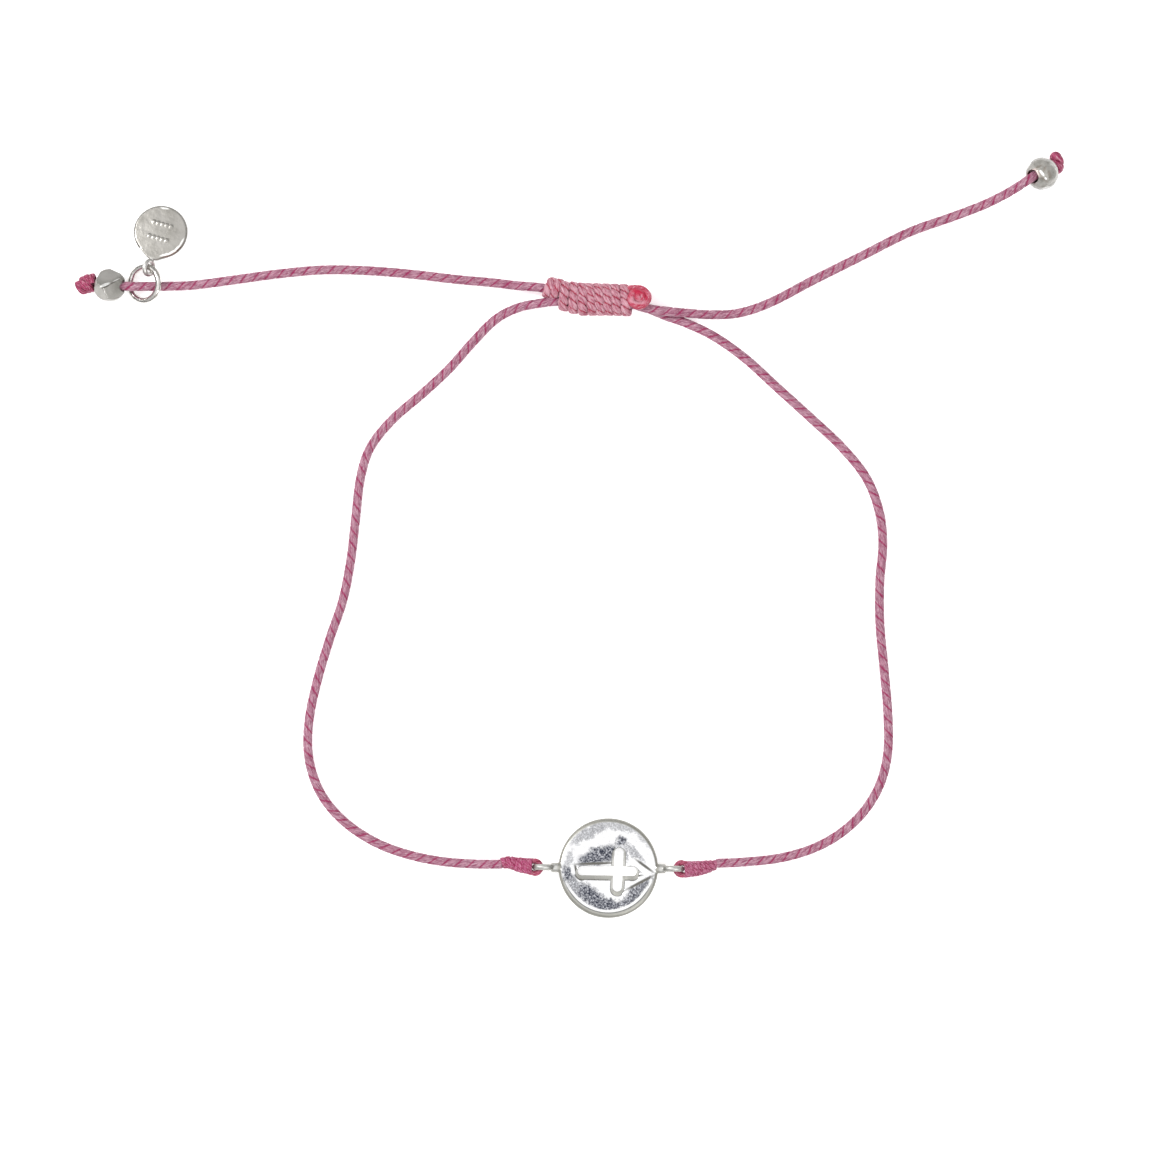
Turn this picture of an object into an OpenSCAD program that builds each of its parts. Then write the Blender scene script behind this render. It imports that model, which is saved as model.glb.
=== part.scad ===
// Adjustable cord bracelet, laid flat: a pierced disc tied between two plied cords, which
// cross in a wrapped sliding knot and end in faceted beads. A small tag hangs on one cord.
// Millimetres. X runs along the disc's two eyes, Y from the disc to the sliding knot, Z up.
// The origin lies midway between the disc and the knot, on the surface below them.

/* [Disc] */
// Diameter of the pierced disc
disc_d = 10; // [9.6:0.1:10.4]
// Thickness of the disc at its middle
disc_t = 1.2; // [1:0.1:1.4]
// How far the face drops from its middle to its edge
disc_crown = 0.2; // [0.1:0.05:0.3]
// Radius of the soft upper edge
disc_edge_r = 0.4; // [0.3:0.05:0.5]
// Angle at which the disc leans on its upper rim
disc_lean = 6.5; // [5:0.5:6.5]

/* [Cross] */
// Width of the cross's arms at the back of the disc
cross_w = 0.85; // [0.7:0.05:1]
// Length of the arm that lies along the cord
cross_long = 5.9; // [5:0.1:6.2]
// Length of the arm across it
cross_short = 4.3; // [3.6:0.1:4.6]
// How far each wall leans out from back to face
cross_flare = 0.28; // [0.1:0.02:0.34]
// Angle at which the whole cut leans towards the disc's lower edge
cross_cant = 13; // [8:1:14]

/* [Eyes] */
// Outer diameter of the cast eye on each side of the disc
eye_d = 2.3; // [2.2:0.05:2.3]
// Thickness of an eye's wire
eye_wire = 0.6; // [0.5:0.05:0.6]

/* [Cord] */
// Diameter of the plied cord
cord_d = 0.9; // [0.7:0.05:0.9]
// Thickness of the cord's bight where it is pulled through an eye
bight_d = 0.55; // [0.4:0.05:0.55]

/* [Sliding knot] */
// Number of turns in the wrapping
knot_turns = 8; // [6:1:8]
// Distance from one turn to the next
knot_pitch = 0.86; // [0.8:0.02:0.88]
// Width of the wrapping, along Y
knot_w = 3.25; // [3.1:0.05:3.4]
// Height of the wrapping
knot_h = 2.6; // [2.6:0.05:2.8]

/* [Beads] */
// Diameter of a bead before its facets are cut
bead_d = 3.3; // [3.2:0.05:3.4]
// Diameter of the hole in a bead
bead_bore = 1.35; // [1.15:0.05:1.4]

/* [Tag] */
// Diameter of the tag
tag_d = 5.4; // [5:0.1:5.6]
// Thickness of the tag
tag_t = 0.7; // [0.5:0.05:0.8]
// Outer diameter of the ring that holds the tag
ring_d = 4.1; // [4.05:0.05:4.15]
// Thickness of that ring's wire
ring_wire = 0.65; // [0.5:0.05:0.65]

/* [Hidden] */

SILVER = [0.80, 0.79, 0.77];
CORD_PINK = [0.80, 0.56, 0.66];
KNOT_PINK = [0.82, 0.50, 0.56];
TIE_PINK = [0.70, 0.22, 0.42];

// Small gap between pieces that touch
gap = 0.06;
// Sides of a round that is cut into an exact surface
round_fn = 48;

// Disc: its middle, and the height that lets both eyes rest on the surface
disc_r = disc_d / 2;
disc_at = [-0.1, -27.25, eye_d / 2];
disc_turn = -0.7;
back_edge_r = 0.2;

// Cross: the middle of each arm, from the middle of the disc, and how far the short arm leans
cross_long_at = [-0.1, -0.4];
cross_short_at = [1.0, -0.24];
cross_skew = -2.4;
// The filed point that runs from the head of the cross towards the right eye
point_from = [2.5, -0.4];
point_to = [4.3, -0.75];
point_r = 0.5;

// Eyes: distance of each one's middle from the middle of the disc
eye_x = disc_r + 1.55;
eye_ring_r = (eye_d - eye_wire) / 2;
neck_r = 0.48;

// Ties: the bight goes round the eye's outer wire, and the wrapped body starts behind it
tie_loop_r = eye_wire / 2 + gap + bight_d / 2;
tie_body_from = 0.5;
tie_shift_left = 0.1;
tie_shift_right = -0.05;
tie_far_left = [-10.75, -26.78, 0.8];
tie_far_right = [10.8, -26.85, 0.8];
tie_near_r = 0.9;
tie_waist_r = 0.8;
tie_far_r = 0.58;

// Sliding knot: the middle of the wrapping and how far it is turned in plan
knot_at = [-1.46, 30.1, knot_h / 2];
knot_turn = -3;
wrap_l = knot_turns * knot_pitch;
knot_groove = 0.2;
knot_shoulder = 0.07;
// The strands lie side by side in the left of the knot, and one on the other in the right of it
strand_apart = 1;
passage_r = 0.58;
twist_from = -1.5;
twist_hole = [[-1.6, 30.16, 1.3], [2.4, 29.54, 1.25]];
twist_hole_r = 1.02;
// Collar that the wrapping's first turn makes round one strand
collar_from = [-5, 30.85, 1.28];
collar_to = [-6.7, 31.15, 1.1];
collar_r = 1.15;
// Glued lump at the wrapping's other end, and the passage under it: one strand above the other
lump_at = [3.0, 30.14, 1.48];
lump_r = 1.22;
lump_passage = [[1.9, 29.66, 1.24], [4.6, 28.92, 1.24]];

// Beads: the middle of each, and its hole from one flat end to the other, the tied end last
bead_left_at = [-50.25, 31.38, 1.62];
bead_left_hole = [[-48.65, 31.3, 1.5], [-51.68, 31.56, 1.6]];
bead_right_at = [43.5, 42.6, 1.67];
bead_right_hole = [[42.4, 42.18, 2.65], [44.2, 43.39, 0.75]];
// Facets of each bead: the way each faces in plan, how far it faces up, and how deep it lies
bead_left_facets = [
    [82, 54, 1.02], [228, 38, 1.4], [334, 56, 1.07], [20, 40, 1.36], [154, 4, 1.4],
    [66, 2, 1.55], [60, -52, 1.5], [185, -50, 1.48], [300, -50, 1.5], [0, -90, 1.57]];
bead_right_facets = [
    [120, 50, 1.56], [255, 46, 1.52], [350, 55, 1.55], [75, 10, 1.6], [150, 5, 1.57],
    [285, 5, 1.54], [330, 10, 1.6], [40, 35, 1.6], [100, -45, 1.57], [300, -45, 1.57],
    [39, -35, 1.32], [0, -90, 1.6]];

// End knots: the first is a short tapered stack of turns, and the second an egg across the hole
end_knot_r = 1.0;
end_knot_from = [-52.02, 31.67, 1.41];
end_knot_to = [-53.65, 31.2, 1.12];
egg_at = [45.08, 43.87, 0.72];
egg_turn = 8;
egg_size = [1.5, 2.3, 1.4];

// Ring and tag: the ring leans so that one side passes over the cord and the other under it
ring_at = [-46.8, 31.58, 1.15];
ring_lean = -28.5;
ring_mid_r = (ring_d - ring_wire) / 2;
tag_eye_at = [-46.3, 33.15, 1.42];
tag_turn = -16.6;
tag_tilt = -9;
tag_eye_r = 0.68;
tag_eye_wire = 0.46;
tag_eye_turn = 30;
tag_reach = 3.87;
tag_edge_r = 0.2;
tag_tip_y = 0.95;
tag_tip_w = 0.86;

// Routes of the two cords, from the tie at the disc to the bead at the free end. Each row
// is X, Y and Z of the middle of the cord.
route_left = [
    [-10.9, -26.9, 0.80], [-13.6, -26.9, 0.50], [-17.2, -26.6, 0.46], [-20.8, -25.8, 0.46],
    [-24.0, -24.5, 0.46], [-27.0, -22.4, 0.46], [-29.2, -19.6, 0.46], [-30.3, -16.2, 0.46],
    [-30.3, -12.6, 0.46], [-29.5, -8.6, 0.46], [-28.2, -4.2, 0.46], [-26.9, -0.4, 0.46],
    [-26.1, 3.6, 0.46], [-25.6, 7.8, 0.46], [-25.1, 12.0, 0.46], [-24.1, 15.1, 0.46],
    [-21.9, 17.9, 0.46], [-18.9, 20.5, 0.46], [-16.2, 23.0, 0.46], [-13.8, 25.7, 0.46],
    [-11.5, 28.0, 0.48], [-9.3, 29.15, 0.70], [-7.0, 29.6, 1.16], [-4.9, 29.8, 1.30],
    [-1.5, 29.6, 1.30], [0.4, 29.48, 1.60], [1.9, 29.48, 1.74], [3.0, 29.3, 1.75],
    [4.2, 28.98, 1.73], [5.6, 28.8, 1.55], [7.6, 28.65, 1.05], [10.4, 28.5, 0.55],
    [13.2, 28.7, 0.46],
    [16.4, 29.8, 0.46], [20.6, 32.0, 0.46], [25.4, 34.4, 0.46], [30.2, 36.8, 0.46],
    [34.4, 38.3, 0.52], [37.4, 39.4, 1.00], [39.5, 40.35, 1.85], [41.0, 41.2, 2.60],
    [42.0, 41.88, 2.72], [42.9, 42.5, 2.16], [43.5, 42.92, 1.50], [44.05, 43.3, 0.94]];
route_right = [
    [10.9, -26.8, 0.80], [13.6, -26.7, 0.50], [17.2, -26.3, 0.46], [20.4, -25.4, 0.46],
    [23.2, -23.9, 0.46], [25.6, -21.7, 0.46], [27.3, -18.9, 0.46], [28.1, -15.6, 0.46],
    [28.1, -11.6, 0.46], [27.7, -7.0, 0.46], [27.3, -2.6, 0.46], [27.3, 1.6, 0.46],
    [27.6, 5.4, 0.46], [27.2, 8.8, 0.46], [25.9, 12.1, 0.46], [23.4, 15.2, 0.46],
    [20.2, 18.2, 0.46], [17.0, 21.1, 0.46], [13.7, 24.1, 0.46], [10.6, 26.3, 0.46],
    [7.8, 27.65, 0.46], [5.8, 28.35, 0.48], [4.2, 29.0, 0.66], [3.0, 29.35, 0.72],
    [1.9, 29.75, 0.77], [0.4, 30.22, 0.94], [-1.5, 30.6, 1.30], [-4.9, 30.8, 1.30],
    [-7.0, 31.2, 1.05],
    [-9.3, 31.43, 0.65], [-12.0, 31.76, 0.48], [-15.5, 32.08, 0.46], [-20.0, 32.6, 0.46],
    [-24.6, 32.96, 0.46], [-29.0, 33.02, 0.46], [-33.6, 32.6, 0.46], [-38.0, 32.0, 0.46],
    [-41.8, 31.5, 0.50], [-44.4, 31.34, 0.90], [-46.6, 31.3, 1.22], [-48.6, 31.3, 1.50],
    [-51.5, 31.53, 1.60]];
cord_sides = 8;

function unit(v) = v / norm(v);

// Middle of the eye on one side of the disc
function eye_at(side) = disc_at + side * eye_x * [cos(disc_turn), sin(disc_turn), 0];

// Point at t, from 0 to 1, between points i and i + 1 of a route, on a smooth curve through all of them
function on_curve(p, i, t) =
    let (a = p[max(i - 1, 0)], b = p[i], c = p[i + 1], d = p[min(i + 2, len(p) - 1)])
    ((2 * b) + (c - a) * t + (2 * a - 5 * b + 4 * c - d) * t * t
     + (3 * b - a - 3 * c + d) * t * t * t) / 2;

// A route's own points with one more between each two
function smooth(p) = concat([for (i = [0 : len(p) - 2], t = [0, 0.5]) on_curve(p, i, t)],
                            [p[len(p) - 1]]);

function heading(p, i) = unit(p[min(i + 1, len(p) - 1)] - p[max(i - 1, 0)]);

// Corners of the ring round point i of a route, with one corner straight down
function ring_points(p, i, r) =
    let (h = heading(p, i), side = unit(cross([0, 0, 1], h)), up = cross(h, side))
    [for (k = [0 : cord_sides - 1])
        p[i] + r * (cos(360 * k / cord_sides) * side + sin(360 * k / cord_sides) * up)];

// Tube of radius r along a route
module tube(route, r) {
    p = smooth(route);
    n = len(p);
    s = cord_sides;
    points = [for (i = [0 : n - 1]) each ring_points(p, i, r)];
    walls = [for (i = [0 : n - 2], k = [0 : s - 1])
        each [[i * s + k, i * s + (k + 1) % s, (i + 1) * s + k],
              [i * s + (k + 1) % s, (i + 1) * s + (k + 1) % s, (i + 1) * s + k]]];
    near_end = [for (k = [s - 1 : -1 : 0]) k];
    far_end = [for (k = [0 : s - 1]) (n - 1) * s + k];
    polyhedron(points = points, faces = concat([near_end], walls, [far_end]));
}

// Puts its children's Z axis on the line from one point to another, starting at the first
module aim(from, to) {
    d = to - from;
    translate(from) rotate([0, acos(d[2] / norm(d)), atan2(d[1], d[0])]) children();
}

// Ring of round wire in the XY plane
module wire_ring(mid_r, wire) {
    rotate_extrude($fn = round_fn) translate([mid_r, 0]) circle(d = wire, $fn = 24);
}

// Turned outline of a coin-like piece with a flat back, soft edges and a low crown, about z = 0
function coin_outline(r, t, crown, top_r, back_r) = concat(
    [[0, -t / 2], [r - back_r, -t / 2]],
    [for (a = [-60 : 30 : 0]) [r - back_r + back_r * cos(a), -t / 2 + back_r + back_r * sin(a)]],
    [for (a = [0 : 18 : 90])
        [r - top_r + top_r * cos(a), t / 2 - crown - top_r + top_r * sin(a)]],
    [for (q = [0.8, 0.6, 0.4, 0.2]) [(r - top_r) * q, t / 2 - crown * q * q]],
    [[0, t / 2]]);

// Slot through the disc along X whose walls lean out towards the face. The slot leans aside
// towards its own -Y by one angle, and its round ends lean back towards its own -X by another.
module flared_slot(reach, aside, back) {
    past = 0.3;
    h = disc_t + 2 * past;
    lean = cross_flare / disc_t;
    low = cross_w / 2 - past * lean;
    high = low + h * lean;
    shift = h / 2 * tan(aside);
    straight = reach - cross_w;
    rotate([90, 0, 90]) linear_extrude(height = straight, center = true)
        polygon([[shift - low, -h / 2], [shift + low, -h / 2],
                 [high - shift, h / 2], [-high - shift, h / 2]]);
    for (side = [-1, 1])
        translate([side * straight / 2, 0, 0]) rotate([aside, -back, 0]) translate([0, 0, -h / 2])
            cylinder(r1 = low, r2 = high, h = h, $fn = 32);
}

// Shallow filed groove in the face that narrows to a point
module filed_point() {
    top = disc_t / 2 + 0.12;
    aim([point_from[0], point_from[1], top], [point_to[0], point_to[1], top - 0.1])
        cylinder(r1 = point_r, r2 = 0.05, h = norm(point_to - point_from), $fn = 32);
}

module disc() {
    color(SILVER) translate(disc_at) rotate([0, 0, disc_turn]) rotate([-disc_lean, 0, 0]) {
        difference() {
            union() {
                rotate_extrude($fn = 96)
                    polygon(coin_outline(disc_r, disc_t, disc_crown, disc_edge_r, back_edge_r));
                for (side = [-1, 1])
                    translate([side * (disc_r + 0.25), 0, 0]) rotate([0, 90, 0])
                        cylinder(r = neck_r, h = 1, center = true, $fn = 32);
            }
            translate([cross_long_at[0], cross_long_at[1], 0])
                flared_slot(cross_long, cross_cant, 0);
            translate([cross_short_at[0], cross_short_at[1], 0]) rotate([0, 0, 90 + cross_skew])
                flared_slot(cross_short, 0, cross_cant);
            filed_point();
        }
        for (side = [-1, 1])
            translate([side * eye_x, 0, 0]) rotate([90, 0, 0]) wire_ring(eye_ring_r, eye_wire);
    }
}

// Tie on the right of an eye: a bight of cord through the eye, bound with thread up to far
module tie(eye, shift, far) {
    wire = eye + [eye_ring_r, 0, 0];
    near = wire + [tie_body_from, shift, 0];
    body_l = norm(far - near);
    translate(wire) {
        rotate([0, 0, 90]) rotate_extrude(angle = 180, $fn = round_fn)
            translate([tie_loop_r, 0]) circle(d = bight_d, $fn = 24);
        for (side = [-1, 1])
            translate([0, side * tie_loop_r, 0]) rotate([0, 90, 0])
                cylinder(d = bight_d, h = tie_body_from + 0.2, $fn = 24);
    }
    aim(near, far) rotate_extrude($fn = round_fn)
        polygon([[0, 0], [tie_near_r - 0.12, 0], [tie_near_r, 0.15], [tie_near_r, 0.45],
                 [tie_waist_r, 1.1], [tie_waist_r, 0.65 * body_l], [tie_far_r + 0.1, 0.9 * body_l],
                 [tie_far_r, body_l], [0, body_l]]);
}

function mirrored(p) = [-p[0], p[1], p[2]];

module tie_left() {
    color(TIE_PINK) mirror([1, 0, 0])
        tie(mirrored(eye_at(-1)), tie_shift_left, mirrored(tie_far_left));
}

module tie_right() {
    color(TIE_PINK) tie(eye_at(1), tie_shift_right, tie_far_right);
}

module cord_left() {
    color(CORD_PINK) tube(route_left, cord_d / 2);
}

module cord_right() {
    color(CORD_PINK) tube(route_right, cord_d / 2);
}

// Outline of the wrapping's upper half, as [along, out] pairs, for a wrapping of half-height r
function wrap_outline(r) = [for (i = [0 : knot_turns - 1])
    each [for (q = [[0, knot_groove], [0.14, knot_shoulder], [0.32, 0], [0.68, 0],
                    [0.86, knot_shoulder]])
        [(i + q[0]) * knot_pitch - wrap_l / 2, r - q[1]]], [wrap_l / 2, r - knot_groove]];

// Wrapping about X: a turned round at each side and a flat band between them
module wrapping() {
    flat = (knot_w - knot_h) / 2;
    half = wrap_outline(knot_h / 2);
    for (side = [-1, 1])
        translate([0, side * flat, 0]) rotate([0, 90, 0]) rotate_extrude($fn = round_fn)
            polygon(concat([[0, -wrap_l / 2]], [for (q = half) [q[1], q[0]]], [[0, wrap_l / 2]]));
    band = wrap_outline(knot_h / 2 - 0.02);
    rotate([90, 0, 0]) linear_extrude(height = 2 * flat, center = true)
        polygon(concat(band, [for (i = [len(band) - 1 : -1 : 0]) [band[i][0], -band[i][1]]]));
}

// Section of a passage that holds both strands, side by side along its own X
module passage_outline() {
    for (side = [-1, 1])
        translate([side * strand_apart / 2, 0]) circle(r = passage_r, $fn = 32);
    square([strand_apart, 2 * passage_r], center = true);
}

module sliding_knot() {
    collar_l = norm(collar_to - collar_from);
    color(KNOT_PINK) difference() {
        union() {
            translate(knot_at) rotate([0, 0, knot_turn]) wrapping();
            translate(lump_at) sphere(r = lump_r, $fn = round_fn);
            aim(collar_from, collar_to) rotate_extrude($fn = round_fn)
                polygon([[passage_r, 0], [collar_r - 0.15, 0], [collar_r - 0.02, 0.25],
                         [collar_r, 0.8], [collar_r - 0.27, 1.3], [0.7, collar_l],
                         [passage_r, collar_l]]);
        }
        translate(knot_at) rotate([0, 0, knot_turn]) translate([twist_from, 0, 0])
            rotate([90, 0, 90]) linear_extrude(height = wrap_l, center = true) passage_outline();
        aim(twist_hole[0], twist_hole[1])
            cylinder(r = twist_hole_r, h = norm(twist_hole[1] - twist_hole[0]), $fn = 32);
        aim(lump_passage[0], lump_passage[1])
            linear_extrude(height = norm(lump_passage[1] - lump_passage[0])) passage_outline();
    }
}

// Bead cut from a ball: flat facets all round, a flat at each end of its hole, and the hole
module bead(at, hole, facets) {
    cut = 3;
    difference() {
        translate(at) sphere(d = bead_d, $fn = round_fn);
        for (f = facets)
            translate(at) rotate([0, -f[1], f[0]]) translate([f[2], -cut, -cut])
                cube([cut, 2 * cut, 2 * cut]);
        for (ends = [[hole[1], hole[0]], [hole[0], hole[1]]])
            aim(ends[1], 2 * ends[1] - ends[0]) translate([-cut, -cut, 0]) cube(2 * cut);
        aim(hole[0], hole[1]) translate([0, 0, -cut]) cylinder(d = bead_bore, h = 3 * cut, $fn = 32);
    }
}

module bead_left() {
    color(SILVER) bead(bead_left_at, bead_left_hole, bead_left_facets);
}

module bead_right() {
    color(SILVER) bead(bead_right_at, bead_right_hole, bead_right_facets);
}

module end_knot_left() {
    l = norm(end_knot_to - end_knot_from);
    color(TIE_PINK) aim(end_knot_from, end_knot_to) rotate_extrude($fn = round_fn)
        polygon([[0, 0], [0.75, 0], [end_knot_r - 0.04, 0.2], [end_knot_r, 0.55],
                 [end_knot_r - 0.08, 1.1], [0.8, 1.5], [0.62, l - 0.05], [0, l]]);
}

module end_knot_right() {
    color(TIE_PINK) translate(egg_at) rotate([0, 0, egg_turn])
        scale(egg_size) sphere(d = 1, $fn = 24);
}

module jump_ring() {
    color(SILVER) translate(ring_at) rotate([0, ring_lean, 0]) wire_ring(ring_mid_r, ring_wire);
}

// Straight sides of the tag, from its round to the narrow tip that carries the eye
module tag_tip() {
    r = tag_d / 2 - 0.02;
    w = tag_tip_w / 2;
    drop = tag_reach - tag_tip_y;
    a = atan(w / drop) + acos(r / norm([w, drop]));
    linear_extrude(height = tag_t - 0.1, center = true)
        polygon([[-w, tag_tip_y], [w, tag_tip_y],
                 [r * sin(a), tag_reach - r * cos(a)], [-r * sin(a), tag_reach - r * cos(a)]]);
}

// Tag: a small coin drawn out to a tip, with an eye on the tip. Two rows of plain studs are
// raised on its face.
module tag() {
    neck_l = tag_tip_y - tag_eye_r + 0.3;
    color(SILVER) translate(tag_eye_at) rotate([tag_tilt, 0, 0]) rotate([0, 0, tag_turn]) {
        rotate([0, 90 - tag_eye_turn, 0]) wire_ring(tag_eye_r, tag_eye_wire);
        translate([0, tag_eye_r, 0]) rotate([-90, 0, 0])
            cylinder(d = tag_eye_wire + 0.1, h = neck_l, $fn = 24);
        tag_tip();
        translate([0, tag_reach, 0]) {
            rotate_extrude($fn = 64)
                polygon(coin_outline(tag_d / 2, tag_t, 0.05, tag_edge_r, tag_edge_r));
            for (row = [-1, 1], i = [-2 : 2])
                translate([0.45 * i, 0.75 * row, tag_t / 2 - 0.1]) rotate([0, 0, 20])
                    cylinder(d = 0.34, h = 0.14, $fn = 16);
        }
    }
}

disc();
tie_left();
tie_right();
cord_left();
cord_right();
sliding_knot();
bead_left();
bead_right();
end_knot_left();
end_knot_right();
jump_ring();
tag();
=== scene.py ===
import math

import bmesh
import bpy
from mathutils import Matrix, Vector, noise


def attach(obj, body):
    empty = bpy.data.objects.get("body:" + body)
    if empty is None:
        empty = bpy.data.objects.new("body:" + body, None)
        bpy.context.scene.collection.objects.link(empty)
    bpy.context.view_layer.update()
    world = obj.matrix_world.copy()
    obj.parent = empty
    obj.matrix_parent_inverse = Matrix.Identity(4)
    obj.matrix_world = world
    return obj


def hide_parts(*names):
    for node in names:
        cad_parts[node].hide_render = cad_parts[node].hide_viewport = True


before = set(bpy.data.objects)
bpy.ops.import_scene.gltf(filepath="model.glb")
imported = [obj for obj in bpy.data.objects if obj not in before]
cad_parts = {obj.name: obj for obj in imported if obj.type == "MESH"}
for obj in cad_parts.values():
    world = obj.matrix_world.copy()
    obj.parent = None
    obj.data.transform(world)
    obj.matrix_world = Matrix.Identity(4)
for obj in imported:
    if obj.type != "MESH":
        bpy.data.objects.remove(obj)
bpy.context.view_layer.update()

# Camera.
# The bracelet lies flat and is seen from straight above, a forearm's length away. The
# photograph is a square of 1155 pixels, 9.9 of them to a millimetre on the surface.
MM = 0.001
PHOTO_PIXELS = 1155
PIXELS_PER_MM = 9.9
SENSOR = 36
camera_height = 350 * MM
view_middle = (-3.2 * MM, 2.0 * MM)
camera_data = bpy.data.cameras.new("camera")
camera_data.sensor_width = SENSOR
camera_data.lens = SENSOR * camera_height / (PHOTO_PIXELS / PIXELS_PER_MM * MM)
camera_data.clip_start = 10 * MM
camera = bpy.data.objects.new("camera", camera_data)
camera.location = (*view_middle, camera_height)
bpy.context.scene.collection.objects.link(camera)
bpy.context.scene.camera = camera

# Cords.
# Two lengths of waxed mauve-pink cord, each of two plies laid up the left-handed way and
# 0.9 mm across. Each starts in a tie at the disc, goes round half the loop and through the
# sliding knot, and ends as a free end under a bead.
cord_diameter = 0.9
cord_fluff = 0.03
cord_lay = 2.55
left_route = [
    (-10.8, -26.88, 0.81), (-13.6, -26.9, 0.50), (-17.2, -26.6, 0.46), (-20.8, -25.8, 0.46),
    (-24.0, -24.5, 0.46), (-27.0, -22.4, 0.46), (-29.2, -19.6, 0.46), (-30.3, -16.2, 0.46),
    (-30.3, -12.6, 0.46), (-29.5, -8.6, 0.46), (-28.2, -4.2, 0.46), (-26.9, -0.4, 0.46),
    (-26.1, 3.6, 0.46), (-25.6, 7.8, 0.46), (-25.1, 12.0, 0.46), (-24.1, 15.1, 0.46),
    (-21.9, 17.9, 0.46), (-18.9, 20.5, 0.46), (-16.2, 23.0, 0.46), (-13.8, 25.7, 0.46),
    (-11.5, 28.0, 0.48), (-9.3, 29.15, 0.70), (-7.0, 29.6, 1.16), (-4.9, 29.8, 1.30),
    (-1.5, 29.6, 1.30), (0.4, 29.48, 1.60), (1.9, 29.48, 1.74), (3.0, 29.3, 1.75),
    (4.2, 28.98, 1.73), (5.6, 28.8, 1.55), (7.6, 28.65, 1.05), (10.4, 28.5, 0.55),
    (13.2, 28.7, 0.46), (16.4, 29.8, 0.46), (20.6, 32.0, 0.46), (25.4, 34.4, 0.46),
    (30.2, 36.8, 0.46), (34.4, 38.3, 0.52), (37.4, 39.4, 1.00), (39.5, 40.35, 1.85),
    (41.0, 41.2, 2.60), (42.0, 41.88, 2.72), (42.9, 42.5, 2.16), (43.5, 42.92, 1.50),
    (44.05, 43.3, 0.94)]
right_route = [
    (10.8, -26.8, 0.81), (13.6, -26.7, 0.50), (17.2, -26.3, 0.46), (20.4, -25.4, 0.46),
    (23.2, -23.9, 0.46), (25.6, -21.7, 0.46), (27.3, -18.9, 0.46), (28.1, -15.6, 0.46),
    (28.1, -11.6, 0.46), (27.7, -7.0, 0.46), (27.3, -2.6, 0.46), (27.3, 1.6, 0.46),
    (27.6, 5.4, 0.46), (27.2, 8.8, 0.46), (25.9, 12.1, 0.46), (23.4, 15.2, 0.46),
    (20.2, 18.2, 0.46), (17.0, 21.1, 0.46), (13.7, 24.1, 0.46), (10.6, 26.3, 0.46),
    (7.8, 27.65, 0.46), (5.8, 28.35, 0.48), (4.2, 29.0, 0.66), (3.0, 29.35, 0.72),
    (1.9, 29.75, 0.77), (0.4, 30.22, 0.94), (-1.5, 30.6, 1.30), (-4.9, 30.8, 1.30),
    (-7.0, 31.2, 1.05), (-9.3, 31.43, 0.65), (-12.0, 31.76, 0.48), (-15.5, 32.08, 0.46),
    (-20.0, 32.6, 0.46), (-24.6, 32.96, 0.46), (-29.0, 33.02, 0.46), (-33.6, 32.6, 0.46),
    (-38.0, 32.0, 0.46), (-41.8, 31.5, 0.50), (-44.4, 31.34, 0.90), (-46.6, 31.3, 1.22),
    (-48.6, 31.3, 1.50), (-51.5, 31.53, 1.60)]


def through(points, steps=8):
    """Points in metres on a smooth curve through points in millimetres."""
    p = [Vector(q) * MM for q in points]
    out = []
    for i in range(len(p) - 1):
        a, b, c, d = p[max(i - 1, 0)], p[i], p[i + 1], p[min(i + 2, len(p) - 1)]
        for k in range(steps):
            t = k / steps
            out.append((2 * b + (c - a) * t + (2 * a - 5 * b + 4 * c - d) * t * t
                        + (3 * b - a - 3 * c + d) * t ** 3) / 2)
    return out + [p[-1]]


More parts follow.
